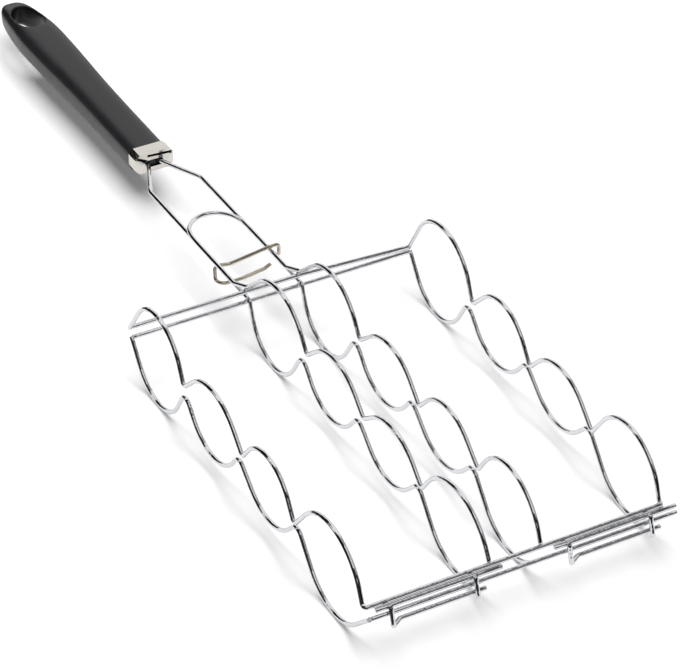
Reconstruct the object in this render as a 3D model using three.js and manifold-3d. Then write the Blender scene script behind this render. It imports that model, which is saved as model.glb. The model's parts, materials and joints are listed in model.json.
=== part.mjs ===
// Corn grilling basket: two hinged halves of bent wire with a row of round bays for ears of corn,
// on a long handle of two wires with a moulded grip. Millimetres, +Z up, +X from the grip to the hinge.
// Lengths along the basket count forwards from the rear crossbars, and the lowest bays stand on z = 0.
// The group is then moved along X, so that its origin lies under the middle of the whole length.
import * as THREE from "three";
import { mergeVertices } from "three/addons/utils/BufferGeometryUtils.js";
import Module from "manifold-3d";

const wasm = await Module();
wasm.setup();

// Wire stock and the gaps that are kept where two pieces touch
const wireDiameter = 2.8;
const weldGap = 0.3; // between wires that are welded or lie on each other
const socketGap = 0.5; // round a wire that is moulded into the grip
const cutOverrun = 1; // how far a cutting tool stands out past the face that it opens

// Basket, seen from above
const basketLength = 273.5; // rear crossbars to the hinge bar
const basketWidth = 180; // between the outer ribs of the lower half
const lidLeftOverhang = 1; // of the lid's left outer rib past the lower half's
const lidRightInset = 0.8; // of the lid's right outer rib from the lower half's
const innerSpacing = 33.8; // between the inner ribs, which run on as the handle

// Lower half, seen from the side: depths count down from the seam, where the tops of the necks lie
const lowerDepth = 27.3; // to the deepest bays
const lowerNeckRadius = 5.2;
const lowerBarDepth = 2.6; // rear crossbar below the seam
const hingeDepth = 4.7; // hinge bar below the seam
const lowerNeckShares = [0.245, 0.4785, 0.7165]; // of the basket's length, to each neck
const lowerNeckDipShares = [0.035, 0, 0]; // of the depth, down to each neck
const lowerDepthShares = [1, 0.693, 0.63, 1]; // of the depth, to each bay
const lowerMiddleShares = [0.485, 0.498, 0.51, 0.525]; // each bay's middle, from its rear neck to its front one
const lowerRoundShares = [0.928, 0.959, 0.93, 0.848]; // each bay's radius, of the largest that its necks allow

// Lid, seen from the side: heights count up from the same seam. Its ribs are bent by hand and differ a little,
// so each has shares of its own, from the left rib to the right one.
const lidHeight = 30;
const lidNeckRadius = 2.5;
const lidNeckShares = [
  [0.247, 0.497, 0.712],
  [0.263, 0.499, 0.73],
  [0.262, 0.504, 0.736],
  [0.267, 0.495, 0.732],
];
const lidNeckRiseShares = [
  [0.3, 0.275, 0.13],
  [0.25, 0.22, 0.115],
  [0.2, 0.15, 0.16],
  [0.25, 0.145, 0.11],
];
const lidTopShares = [
  [1.16, 0.925, 0.88, 1],
  [0.99, 0.8, 0.685, 0.89],
  [0.98, 0.765, 0.745, 0.96],
  [1.225, 0.875, 0.745, 0.995],
];
const lidMiddleShares = [0.526, 0.498, 0.485, 0.491];
const lidRoundShares = [0.953, 0.906, 0.929, 0.965];
const lidFootInset = 2.7; // the right inner rib leans in to its foot on the front bar

// Rear end of the lid: the two inner ribs run back over the crossbar and meet in a loop above the handle wires
const shoulderBend = 3; // where an inner wire leaves its crossbar
const lidBarGap = 1.1; // the lid lies on its loop, so its crossbar stays this far above the handle wires
const lidBarDrop = 3.9; // the crossbar's right end is bent down
const lidBarBend = 40;
const loopReach = 82.5; // from the rear crossbars back to the loop's end
const loopShift = 2; // the whole loop sits a little to the left
const loopBend = 8;
const loopReachShares = [0.9, 1, 1, 0.87]; // the loop's four corners, back from the crossbars
const loopWidthShares = [-1, -0.2, 0.38, 1]; // and across, of half its width
const legDrop = 12; // how far back the legs come down onto the handle wires
const shoulderReach = 2; // from the crossbar forwards to where the inner ribs turn up
const shoulderRise = 0.9; // of that place, so that the sloping leg clears the crossbar

// Front end of the lid, above the hinge bar
const lidBarSetback = 2.5; // lid's front bar behind the hinge bar
const lidBarRise = 6.5; // and above it
const heelSetback = 2.8; // where the outer ribs reach the front bar's height, behind it
const heelBend = 2.6; // where they turn forwards, and then into the front bar
const ribEndOverhang = 1.5; // the left outer rib's end past the hinge bar
const rearOverhang = 0.7; // rear ends of the outer ribs past their crossbar's centre line
const hingeBarOverhang = 7; // right end of the hinge bar past the outer rib

// Hinge: each side has a rod above the hinge bar and a hook below it, joined in front of it by an arm and a link
const rodSetback = 0.8;
const rodRise = 4.1;
const rodStart = 7.5; // rod's end beyond the arm
const rodLength = 75.5;
const hookReach = 2.1; // hook in front of the hinge bar
const hookDrop = 4;
const hookLength = 57; // from the arm to its blunt end
const hookTip = 2.4; // how far the hook's turn reaches down below it
const hookBend = 1.9;
const hookTurn = 3.2; // length of each slanting side of the turn
const armRun = 2.6; // from the arm to the turn
const linkPlace = 50.5; // link from the arm
const linkTail = 1.8; // ends of an arm or a link past the wire that it is welded to
const hingeArmShares = [-0.872, 0.319]; // left and right arm, of the basket's half width

// Handle wires
const handleStraight = 123; // from the rear crossbars to where the wires draw together
const handleSlant = 27; // length over which they do
const handleBend = 8;
const tangSpacing = 7; // between the two wires at the ferrule
const handleShift = 1.1; // the ferrule and the grip sit a little to the left
const handleDrop = 1.5; // of the wires from the crossbar to where they draw together
const tangRise = 0.8; // of the wires from there to the ferrule
const tangLength = 58; // of the wires inside the ferrule and the grip

// Ferrule: a drawn metal cap with a slot for the two wires
const ferruleFront = 149; // from the rear crossbars
const ferruleLength = 9.4;
const ferruleWidth = 25.1;
const ferruleHeight = 13.1;
const ferruleChamfer = 2.9;
const ferruleWall = 0.9;
const ferruleRise = 7.3; // of its top face above the wires
const slotWidth = 11.6;
const slotHeight = 5;

// Grip: a moulded body that grows wider and deeper towards its hanging hole
const gripLength = 198.4; // behind the ferrule
const gripWidth = 28.1; // at its widest
const gripDepth = 21.9; // at its deepest
const gripBelowFerrule = 0.4; // step from the ferrule's top down to the grip's top
const spigotClearance = 0.3; // between the grip's front end and the ferrule
const hangHoleLength = 29.6;
const hangHoleWidth = 16;
const hangHoleRim = 14; // between the hole and the grip's end
const gripStationShares = [0, 0.13, 0.31, 0.46, 0.65, 0.755, 0.84, 0.905, 0.95, 0.98, 1];
const gripWidthShares = [0.86, 0.85, 0.85, 0.9, 0.99, 1, 0.9, 0.78, 0.67, 0.47, 0.17];
const gripTopShares = [0, 0, 0, 0, 0, 0, 0.035, 0.1, 0.175, 0.27, 0.39]; // of the depth, down from the top face
const gripBottomShares = [0.75, 0.79, 0.83, 0.87, 0.905, 0.94, 1, 0.985, 0.915, 0.79, 0.615];
const gripUndersideShares = [0.98, 0.98, 0.97, 0.96, 0.94, 0.92, 0.9, 0.9, 0.9, 0.9, 0.9]; // of each width
const gripRoundness = 0.42; // power of the cosine that rounds the section: 1 is an ellipse, less is squarer
const gripSectionPoints = 20;

// Latch clip: a spring hairpin that passes under the left handle wire and hooks over the right legs
const clipDiameter = 2.3;
const clipGap = 0.3; // between the clip and the wires that it passes
const clipFront = 22; // from the rear crossbars back to its front run
const clipWidth = 18.5; // between its two runs
const clipBowReach = 8.5; // of the bow past the left handle wire
const clipBend = 5;
const clipHookBend = 2.2;
const clipHookReach = 0.8; // of the hook past the outer side of the right handle wire
const clipHookDrop = 7.3;
const clipStop = 2.2; // between the front run's end and the right leg, so that it can swing out past it
const clipTipRise = 4;

// How finely bends are drawn
const bendError = 0.15; // most that a chord may leave its arc
const coarsestStep = 30; // degrees
const sectionSides = 8;
const holeSteps = 20;

// Places that follow from the sizes
const wireRadius = wireDiameter / 2;
const crossing = wireDiameter + weldGap; // between the centre lines of two wires that touch
const lowerSeam = wireRadius + lowerDepth;
const hingeHeight = lowerSeam - hingeDepth;
const lowerBarHeight = lowerSeam - lowerBarDepth;
const handleHeight = lowerBarHeight + crossing;
const bendHeight = handleHeight - handleDrop;
const tangHeight = bendHeight + tangRise;
const tangPlaces = [-tangSpacing / 2 - handleShift, tangSpacing / 2 - handleShift];
const lidLeft = basketWidth / 2 + lidLeftOverhang;
const lidRight = basketWidth / 2 - lidRightInset;
const hingeArmPlaces = hingeArmShares.map((share) => (share * basketWidth) / 2);
const lowerRibPlaces = [-basketWidth / 2, -innerSpacing / 2, innerSpacing / 2, basketWidth / 2];
const gripFront = ferruleFront + ferruleLength + weldGap;
const gripEnd = gripFront + gripLength;
const ferruleTop = tangHeight + ferruleRise;
const gripTop = ferruleTop - gripBelowFerrule;

const chrome = { color: 0xd9dadb, roughness: 0.12, metalness: 1 };
const springSteel = { color: 0xa2967c, roughness: 0.35, metalness: 1 };
const satinNickel = { color: 0xc9c2b8, roughness: 0.4, metalness: 1 };
const blackPlastic = { color: 0x2b2b2d, roughness: 0.6, metalness: 0 };

const radians = THREE.MathUtils.degToRad;
const at = (x, y, z, bend = 0) => ({ place: new THREE.Vector3(x, y, z), bend });

// A run of wire: straight stretches between corners, each corner rounded by its own bend radius.
// An arc that passes through level has its steps even about its level place, so that it can stand there.
class WirePath extends THREE.Curve {
  constructor(corners) {
    super();
    this.stations = [];
    const places = corners.map((corner) => corner.place);
    const runs = places.slice(1).map((place, i) => place.clone().sub(places[i]));
    const ways = runs.map((run) => run.clone().normalize());
    const turns = corners.map((corner, i) => (ways[i] && ways[i - 1] ? ways[i - 1].angleTo(ways[i]) : 0));
    const wanted = corners.map((corner, i) => corner.bend * Math.tan(turns[i] / 2));
    // A bend takes no more of a straight run than the run has to give
    const shareOf = (i) => (runs[i] ? Math.min(1, runs[i].length() / (wanted[i] + wanted[i + 1] || 1)) : 1);
    const setbacks = wanted.map((setback, i) => setback * Math.min(i ? shareOf(i - 1) : 1, shareOf(i)));
    this.add(places[0], ways[0]);
    for (let i = 1; i < corners.length - 1; i += 1) {
      if (setbacks[i] > 0) this.addBend(places[i], ways[i - 1], ways[i], turns[i], setbacks[i]);
    }
    this.add(places.at(-1), ways.at(-1));
  }

  add(place, way) {
    this.stations.push({ place, way });
  }

  addBend(corner, into, out, turn, setback) {
    const radius = setback / Math.tan(turn / 2);
    const start = corner.clone().addScaledVector(into, -setback);
    const inwards = out.clone().addScaledVector(into, -into.dot(out)).normalize();
    const step = Math.min(radians(coarsestStep), 2 * Math.acos(Math.max(0, 1 - bendError / radius)));
    for (const angle of bendAngles(turn, step, Math.atan2(-into.z, inwards.z))) {
      const place = start.clone().addScaledVector(into, radius * Math.sin(angle));
      place.addScaledVector(inwards, radius * (1 - Math.cos(angle)));
      const way = into.clone().multiplyScalar(Math.cos(angle)).addScaledVector(inwards, Math.sin(angle));
      this.add(place, way);
    }
  }

  stationAt(share) {
    return this.stations[Math.round(share * (this.stations.length - 1))];
  }

  getPoint(share, target = new THREE.Vector3()) {
    return target.copy(this.stationAt(share).place);
  }

  getTangent(share, target = new THREE.Vector3()) {
    return target.copy(this.stationAt(share).way);
  }

  getPointAt(share, target) {
    return this.getPoint(share, target);
  }

  getTangentAt(share, target) {
    return this.getTangent(share, target);
  }
}

// The angles at which a bend is drawn, from 0 to its whole turn
function bendAngles(turn, step, level) {
  if (level <= 0 || level >= turn) {
    const count = Math.ceil(turn / step);
    return Array.from({ length: count + 1 }, (_, i) => (turn * i) / count);
  }
  const angles = [0, turn];
  for (let away = step / 2; away < turn; away += step) {
    for (const angle of [level - away, level + away]) {
      if (angle > step / 4 && angle < turn - step / 4) angles.push(angle);
    }
  }
  return angles.sort((a, b) => a - b);
}

// Round wire as a prism whose flat sides lie at its true radius and face up, down and sideways
function wireGeometry(corners, diameter = wireDiameter) {
  const path = new WirePath(corners);
  const reach = diameter / 2 / Math.cos(Math.PI / sectionSides);
  const section = new THREE.Shape(
    Array.from({ length: sectionSides }, (_, i) => {
      const angle = ((i + 0.5) * 2 * Math.PI) / sectionSides;
      return new THREE.Vector2(reach * Math.cos(angle), reach * Math.sin(angle));
    }),
  );
  return new THREE.ExtrudeGeometry(section, { steps: path.stations.length - 1, extrudePath: path });
}

// The corners of a rib's side view, u forwards and v away from the seam. Each bay is an arc that its sloping
// walls touch, each neck is a small arc near the seam, and a corner is where two neighbouring walls meet.
function bayCorners({ start, end, reach, necks, depths, middleShares, roundShares, neckRadius }) {
  const places = [0, ...necks.map((neck) => neck.u), reach];
  const edges = [{ ...start, round: 0 }, ...necks.map((neck) => ({ ...neck, round: neckRadius })), { ...end, round: 0 }];
  const rounds = [{ u: start.u, v: start.v, side: 0 }];
  depths.forEach((depth, i) => {
    const u = THREE.MathUtils.lerp(places[i], places[i + 1], middleShares[i]);
    // With the largest radius the bay's arc would run straight over into a neck's
    const largest = edges.slice(i, i + 2).map((edge) => {
      const [half, height] = [edge.u - u, depth - edge.v];
      return (half ** 2 + height ** 2) / (2 * height) - edge.round;
    });
    const radius = roundShares[i] * Math.min(...largest);
    rounds.push({ u, v: depth - radius, side: -radius });
    if (i < necks.length) rounds.push({ u: necks[i].u, v: necks[i].v + neckRadius, side: neckRadius });
  });
  rounds.push({ u: end.u, v: end.v, side: 0 });

  const walls = rounds.slice(1).map((to, i) => wallBetween(rounds[i], to));
  const corners = walls.slice(1).map((wall, i) => {
    const { u, v } = crossingOf(walls[i], wall);
    return { u, v, bend: Math.abs(rounds[i + 1].side) };
  });
  return [{ ...start, bend: 0 }, ...corners, { ...end, bend: 0 }];
}

// The straight line that touches two rounds, each on the side that its sign gives
function wallBetween(from, to) {
  const [du, dv] = [to.u - from.u, to.v - from.v];
  const angle = Math.atan2(dv, du) - Math.asin((to.side - from.side) / Math.hypot(du, dv));
  const [cos, sin] = [Math.cos(angle), Math.sin(angle)];
  return { u: from.u + sin * from.side, v: from.v - cos * from.side, cos, sin };
}

function crossingOf(a, b) {
  const along = ((b.u - a.u) * b.sin - (b.v - a.v) * b.cos) / (a.cos * b.sin - a.sin * b.cos);
  return { u: a.u + along * a.cos, v: a.v + along * a.sin };
}

// A line of corners with its first or last point moved out along its own run
function lengthen(corners, atStart, atEnd) {
  const [first, second] = corners;
  const [beforeLast, last] = corners.slice(-2);
  const out = (from, to, by) => to.clone().addScaledVector(to.clone().sub(from).normalize(), by);
  return [
    { ...first, place: out(second.place, first.place, atStart) },
    ...corners.slice(1, -1),
    { ...last, place: out(beforeLast.place, last.place, atEnd) },
  ];
}

// Lower half
const lowerBays = {
  reach: basketLength,
  necks: lowerNeckShares.map((share, i) => ({
    u: share * basketLength,
    v: lowerNeckDipShares[i] * lowerDepth,
  })),
  depths: lowerDepthShares.map((share) => share * lowerDepth),
  middleShares: lowerMiddleShares,
  roundShares: lowerRoundShares,
  neckRadius: lowerNeckRadius,
  end: { u: basketLength, v: hingeDepth },
};

function lowerRib(y, startDepth, startPlace = 0) {
  const corners = bayCorners({ ...lowerBays, start: { u: startPlace, v: startDepth } });
  return corners.map(({ u, v, bend }) => at(u, y, lowerSeam - v, bend));
}

// The left outer rib runs on past the end of the hinge bar, the others stop against its underside
const lowerRibStop = -wireRadius - weldGap;

function outerLowerRib(y) {
  return wireGeometry(lengthen(lowerRib(y, lowerBarDepth), rearOverhang, y < 0 ? ribEndOverhang : lowerRibStop));
}

// Height of the handle wires at a place behind the rear crossbars, and of what rests on them or hangs below
const handleAt = (x) => handleHeight + (handleDrop * x) / handleStraight;

// An inner rib passes over the rear crossbar and runs back as a handle wire into the grip
function handleWire(side) {
  const y = (side * innerSpacing) / 2;
  const tangPlace = tangPlaces[side < 0 ? 0 : 1];
  const rib = lowerRib(y, lowerSeam - handleHeight, shoulderBend);
  rib[0].bend = shoulderBend;
  const gathered = handleStraight + handleSlant;
  return wireGeometry([
    at(-ferruleFront - tangLength, tangPlace, tangHeight),
    at(-gathered, tangPlace, tangHeight, handleBend),
    at(-handleStraight, y, bendHeight, handleBend),
    ...lengthen(rib, 0, lowerRibStop),
  ]);
}

function crossbar(from, to) {
  return wireGeometry([from, to]);
}

const barInset = wireRadius + weldGap; // a crossbar stops this far short of the outer ribs' centre lines
const lowerBarEnd = basketWidth / 2 - barInset;
const rearCrossbarLower = crossbar(at(0, -lowerBarEnd, lowerBarHeight), at(0, lowerBarEnd, lowerBarHeight));
const hingeBar = crossbar(
  at(basketLength, -lowerBarEnd, hingeHeight),
  at(basketLength, basketWidth / 2 + hingeBarOverhang, hingeHeight),
);

// Lid
const lidRibPlaces = [-lidLeft, -innerSpacing / 2, innerSpacing / 2, lidRight];
const lidFootPlaces = [-lidLeft, -innerSpacing / 2, innerSpacing / 2 - lidFootInset, lidRight];
const lidBarPlace = basketLength - lidBarSetback;
const lidBarHeight = hingeHeight + lidBarRise;
const lidRearHeight = handleHeight + crossing + lidBarGap;

// The corners of one lid rib, from its start above the rear crossbar to its end above the hinge
function lidRib(index, start, end) {
  const neckPlaces = lidNeckShares[index].map((share) => share * basketLength);
  const profile = bayCorners({
    start: { u: start.x, v: start.z - lowerSeam },
    end: { u: end.x, v: end.z - lowerSeam },
    reach: basketLength,
    necks: neckPlaces.map((u, i) => ({ u, v: lidNeckRiseShares[index][i] * lidHeight })),
    depths: lidTopShares[index].map((share) => share * lidHeight),
    middleShares: lidMiddleShares,
    roundShares: lidRoundShares,
    neckRadius: lidNeckRadius,
  });
  const lastNeck = neckPlaces.at(-1);
  return profile.map(({ u, v, bend }) => {
    const lean = THREE.MathUtils.clamp((u - lastNeck) / (end.x - lastNeck), 0, 1);
    const y = THREE.MathUtils.lerp(lidRibPlaces[index], lidFootPlaces[index], lean);
    return at(u, y, lowerSeam + v, bend);
  });
}

// Both outer ribs and the front bar are one wire. A rib comes down behind the bar and turns forwards into it.
function lidOuterWire() {
  const heel = { x: lidBarPlace - heelSetback, z: lidBarHeight };
  const sides = [lidRearHeight, lidRearHeight - lidBarDrop].map((startHeight, side) => {
    const index = 3 * side;
    const rib = lengthen(lidRib(index, { x: 0, z: startHeight }, heel), rearOverhang, 0);
    rib.at(-1).bend = heelBend;
    return [...rib, at(lidBarPlace, lidRibPlaces[index], lidBarHeight, heelBend)];
  });
  return wireGeometry([...sides[0], ...sides[1].reverse()]);
}

// Both inner ribs and the loop behind them are one wire. Each rib's foot is welded on the front bar.
function lidCentreWire() {
  const legAt = (x) => handleAt(x) + crossing;
  const half = innerSpacing / 2;
  const shoulder = { x: shoulderReach, z: lidRearHeight + crossing + shoulderRise };
  const [left, right] = [1, 2].map((index) => {
    const rib = lidRib(index, shoulder, { x: lidBarPlace, z: lidBarHeight });
    rib[0].bend = shoulderBend;
    const leg = at(-legDrop, lidRibPlaces[index] - loopShift, legAt(-legDrop), shoulderBend);
    return [leg, ...lengthen(rib, 0, -wireRadius - weldGap)];
  });
  const loop = loopReachShares.map((share, i) => {
    const x = -share * loopReach;
    return at(x, loopWidthShares[i] * half - loopShift, legAt(x), loopBend);
  });
  return wireGeometry([...left.reverse(), ...loop, ...right]);
}

// The lid's rear crossbar runs over both handle wires and is bent down towards its right end
const rearCrossbarUpper = wireGeometry([
  at(0, barInset - lidLeft, lidRearHeight),
  at(0, innerSpacing / 2, lidRearHeight, lidBarBend),
  at(0, lidRight - barInset, lidRearHeight - lidBarDrop),
]);

// One side of the hinge, counted across from its arm
const rodPlace = [basketLength - rodSetback, hingeHeight + rodRise];
const hookPlace = [basketLength + hookReach, hingeHeight - hookDrop];

function hingeRod(arm) {
  const [x, z] = rodPlace;
  return wireGeometry([at(x, arm - rodStart, z), at(x, arm - rodStart + rodLength, z)]);
}

// The hook lies below the hinge bar, turns down and back up, and its arm rises in front of the bar to the rod
function hingeHook(arm) {
  const [x, z] = hookPlace;
  return wireGeometry([
    at(x, arm + hookLength, z),
    at(x, arm + armRun + hookTurn, z, hookBend),
    at(x + crossing / 2, arm + armRun / 2, z - hookTip, hookBend),
    at(x + crossing, arm, z, hookBend),
    at(rodPlace[0] + crossing, arm, rodPlace[1] + linkTail),
  ]);
}

function hingeLink(arm) {
  const y = arm + linkPlace;
  const low = at(hookPlace[0] + crossing, y, hookPlace[1]);
  const high = at(rodPlace[0] + crossing, y, rodPlace[1]);
  return wireGeometry(lengthen([low, high], linkTail, linkTail));
}

// Latch clip: the front run starts between the wires, passes under the left handle wire, comes back as
// the bow and crosses to the right, where it hooks over the leg of the loop and the handle wire
function latchClip() {
  const half = innerSpacing / 2;
  const front = -clipFront;
  const back = front - clipWidth;
  const clipRadius = clipDiameter / 2;
  const under = handleAt(back) - wireRadius - clipRadius - clipGap;
  const legTop = handleAt(front) + crossing + wireRadius + clipRadius + clipGap;
  const bow = -half - clipBowReach;
  const hook = half + wireRadius + clipRadius + clipHookReach;
  const stop = half - loopShift - wireRadius - clipRadius - clipStop;
  return wireGeometry(
    [
      at(front, stop, under + clipTipRise),
      at(front, stop - clipTipRise, under + clipTipRise / 2, clipHookBend),
      at(front, -half / 2, under, clipBend),
      at(front, bow, under, clipBend),
      at(back, bow + clipBowReach, under, clipBend),
      at(back + clipBend / 2, -half / 2, under, clipBend),
      at(front - clipWidth / 2, half - loopShift, legTop, clipHookBend),
      at(front - clipWidth / 2, hook, legTop, clipHookBend),
      at(front - clipWidth / 2, hook, legTop - clipHookDrop),
    ],
    clipDiameter,
  );
}

// Solids that are cut or joined
function solidOf(geometry) {
  const bare = geometry.clone();
  bare.deleteAttribute("normal");
  bare.deleteAttribute("uv");
  const merged = mergeVertices(bare);
  return new wasm.Manifold(
    new wasm.Mesh({
      numProp: 3,
      vertProperties: new Float32Array(merged.attributes.position.array),
      triVerts: new Uint32Array(merged.index.array),
    }),
  );
}

function geometryOf(solid) {
  const mesh = solid.getMesh();
  const geometry = new THREE.BufferGeometry();
  geometry.setAttribute("position", new THREE.BufferAttribute(mesh.vertProperties, 3));
  geometry.setIndex(new THREE.BufferAttribute(mesh.triVerts, 1));
  return geometry;
}

// A rectangle with cut corners across the handle, drawn out backwards from the given place
function chamferedBlock(front, length, width, height, middle, chamfer) {
  const [w, h] = [width / 2, height / 2];
  const outline = new THREE.Shape([
    new THREE.Vector2(w, h - chamfer),
    new THREE.Vector2(w - chamfer, h),
    new THREE.Vector2(chamfer - w, h),
    new THREE.Vector2(-w, h - chamfer),
    new THREE.Vector2(-w, chamfer - h),
    new THREE.Vector2(chamfer - w, -h),
    new THREE.Vector2(w - chamfer, -h),
    new THREE.Vector2(w, chamfer - h),
  ]);
  const block = new THREE.ExtrudeGeometry(outline, { depth: length, bevelEnabled: false });
  block.rotateX(Math.PI / 2);
  block.rotateZ(-Math.PI / 2);
  return block.translate(-front, -handleShift, middle);
}

const ferruleMiddle = ferruleTop - ferruleHeight / 2;

function ferrule() {
  const shell = chamferedBlock(
    ferruleFront,
    ferruleLength,
    ferruleWidth,
    ferruleHeight,
    ferruleMiddle,
    ferruleChamfer,
  );
  const hollow = chamferedBlock(
    ferruleFront + ferruleWall,
    ferruleLength,
    ferruleWidth - 2 * ferruleWall,
    ferruleHeight - 2 * ferruleWall,
    ferruleMiddle,
    ferruleChamfer - ferruleWall / 2,
  );
  const slot = chamferedBlock(
    ferruleFront - cutOverrun,
    ferruleWall + 2 * cutOverrun,
    slotWidth,
    slotHeight,
    tangHeight,
    slotHeight / 4,
  );
  return geometryOf(solidOf(shell).subtract(solidOf(hollow)).subtract(solidOf(slot)));
}

// A closed skin over rings that have the same number of points
function loftGeometry(rings) {
  const sides = rings[0].length;
  const points = rings.flat();
  const faces = [];
  for (let ring = 1; ring < rings.length; ring += 1) {
    for (let i = 0; i < sides; i += 1) {
      const [a, b] = [(ring - 1) * sides + i, (ring - 1) * sides + ((i + 1) % sides)];
      faces.push(a, a + sides, b, b, a + sides, b + sides);
    }
  }
  const last = (rings.length - 1) * sides;
  for (let i = 1; i < sides - 1; i += 1) {
    faces.push(0, i, i + 1, last, last + i + 1, last + i);
  }
  const geometry = new THREE.BufferGeometry().setFromPoints(points);
  return geometry.setIndex(faces);
}

// A ring of the grip: a rounded box that narrows towards its underside
function gripRing(station) {
  const halfWidth = (gripWidthShares[station] * gripWidth) / 2;
  const top = gripTop - gripTopShares[station] * gripDepth;
  const bottom = gripTop - gripBottomShares[station] * gripDepth;
  const x = -gripFront - gripStationShares[station] * gripLength;
  return Array.from({ length: gripSectionPoints }, (_, i) => {
    const angle = ((i + 0.5) * 2 * Math.PI) / gripSectionPoints;
    const [cos, sin] = [Math.cos(angle), Math.sin(angle)];
    const squared = (value) => Math.sign(value) * Math.abs(value) ** gripRoundness;
    const level = (1 + squared(sin)) / 2;
    const narrowing = THREE.MathUtils.lerp(gripUndersideShares[station], 1, level);
    const y = halfWidth * narrowing * squared(cos) - handleShift;
    return new THREE.Vector3(x, y, THREE.MathUtils.lerp(bottom, top, level));
  });
}

function hangHoleOutline() {
  const outline = new THREE.Shape();
  const middle = -gripEnd + hangHoleRim + hangHoleLength / 2;
  outline.absellipse(middle, -handleShift, hangHoleLength / 2, hangHoleWidth / 2, 0, 2 * Math.PI, false, 0);
  return outline;
}

function grip() {
  const body = solidOf(loftGeometry(gripStationShares.map((_, station) => gripRing(station))));
  const hole = new THREE.ExtrudeGeometry(hangHoleOutline(), {
    depth: gripDepth + 2 * cutOverrun,
    bevelEnabled: false,
    curveSegments: holeSteps / 2,
  });
  hole.translate(0, 0, gripTop - gripDepth - cutOverrun);
  const inset = 2 * (ferruleWall + spigotClearance);
  const spigotLength = ferruleLength - ferruleWall - spigotClearance + weldGap;
  const spigot = chamferedBlock(
    gripFront - spigotLength,
    spigotLength + cutOverrun,
    ferruleWidth - inset,
    ferruleHeight - inset,
    ferruleMiddle,
    ferruleChamfer,
  );
  let solid = body.add(solidOf(spigot)).subtract(solidOf(hole));
  const socketLength = tangLength - (gripFront - spigotLength - ferruleFront) + weldGap + cutOverrun;
  for (const place of tangPlaces) {
    const socket = new THREE.CylinderGeometry(
      wireRadius + socketGap,
      wireRadius + socketGap,
      socketLength,
      sectionSides,
    );
    socket.rotateZ(Math.PI / 2);
    const middle = gripFront - spigotLength - cutOverrun + socketLength / 2;
    socket.translate(-middle, place, tangHeight);
    solid = solid.subtract(solidOf(socket));
  }
  return geometryOf(solid);
}

// The assembly
function piece(name, geometry, look) {
  const mesh = new THREE.Mesh(geometry, new THREE.MeshStandardMaterial(look));
  mesh.name = name;
  return mesh;
}

const base = new THREE.Group();
base.add(
  piece("grip", grip(), blackPlastic),
  piece("ferrule", ferrule(), satinNickel),
  piece("lower_rib_left", outerLowerRib(lowerRibPlaces[0]), chrome),
  piece("handle_wire_left", handleWire(-1), chrome),
  piece("handle_wire_right", handleWire(1), chrome),
  piece("lower_rib_right", outerLowerRib(lowerRibPlaces[3]), chrome),
  piece("rear_crossbar_lower", rearCrossbarLower, chrome),
  piece("hinge_bar", hingeBar, chrome),
);

const lid = new THREE.Group();
lid.add(
  piece("lid_outer_wire", lidOuterWire(), chrome),
  piece("lid_centre_wire", lidCentreWire(), chrome),
  piece("rear_crossbar_upper", rearCrossbarUpper, chrome),
);
["left", "right"].forEach((name, i) => {
  const arm = hingeArmPlaces[i];
  lid.add(
    piece(`hinge_rod_${name}`, hingeRod(arm), chrome),
    piece(`hinge_hook_${name}`, hingeHook(arm), chrome),
    piece(`hinge_link_${name}`, hingeLink(arm), chrome),
  );
});

const basket = new THREE.Group();
basket.add(base, lid, piece("latch_clip", latchClip(), springSteel));
const frontEnd = basketLength + hookReach + crossing + wireRadius;
basket.position.x = (gripEnd - frontEnd) / 2;

export default basket;
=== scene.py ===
import json
import math

import bmesh
import bpy
from mathutils import Matrix, Vector


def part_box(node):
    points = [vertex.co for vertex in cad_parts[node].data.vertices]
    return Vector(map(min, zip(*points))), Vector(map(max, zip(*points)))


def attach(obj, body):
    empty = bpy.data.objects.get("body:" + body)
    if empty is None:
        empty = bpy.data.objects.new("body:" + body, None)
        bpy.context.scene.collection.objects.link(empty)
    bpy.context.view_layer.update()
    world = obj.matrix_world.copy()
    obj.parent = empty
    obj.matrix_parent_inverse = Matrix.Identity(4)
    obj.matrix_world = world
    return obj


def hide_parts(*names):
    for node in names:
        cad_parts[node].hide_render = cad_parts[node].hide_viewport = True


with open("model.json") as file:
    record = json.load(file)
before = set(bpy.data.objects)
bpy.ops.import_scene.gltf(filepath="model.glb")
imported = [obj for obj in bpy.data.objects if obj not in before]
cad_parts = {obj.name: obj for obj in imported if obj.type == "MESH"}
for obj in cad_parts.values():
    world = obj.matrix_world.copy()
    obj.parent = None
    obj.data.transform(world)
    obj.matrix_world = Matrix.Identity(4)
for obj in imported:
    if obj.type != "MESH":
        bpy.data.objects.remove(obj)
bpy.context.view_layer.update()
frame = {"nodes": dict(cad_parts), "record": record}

MM = 0.001
BODY_OF = {
    node: body
    for body, nodes in frame["record"]["behaviour"]["bodies"].items()
    for node in nodes
}

# The photograph's frame, and the camera that took it
PHOTO_WIDTH = 680
FOCAL_PIXELS = 3851.6
SENSOR_WIDTH = 36.0
CAMERA_REACH = 20.0
CAMERA_PLACE = Vector((1.61578, -0.83933, 1.30990))
CAMERA_RIGHT = Vector((0.481997, 0.876112, 0.010304))
CAMERA_DOWN = Vector((0.522740, -0.278109, -0.805853))

# Surface drift: slow noise, fine noise so many times finer, and the share of their product in use
SLOW_NOISE = {"Detail": 3.0, "Roughness": 0.55}
FINE_NOISE = {"Detail": 2.0, "Roughness": 0.6}
FINE_TIMES = 9.0
DRIFT_RANGE = (0.12, 0.42)
GRAIN_NOISE = {"Detail": 2.0, "Roughness": 0.65}

# Wires: the rings of the CAD wires, and the round wire drawn through them
RING_SIDES = 8
SAME_PLACE = 0.002 * MM
SAME_PLANE = 0.99999
WIRE_SIDES = 28
STEPS_PER_STATION = 6
CUT_EDGE = 0.22 * MM
CUT_EDGE_STEP = 0.3

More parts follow.
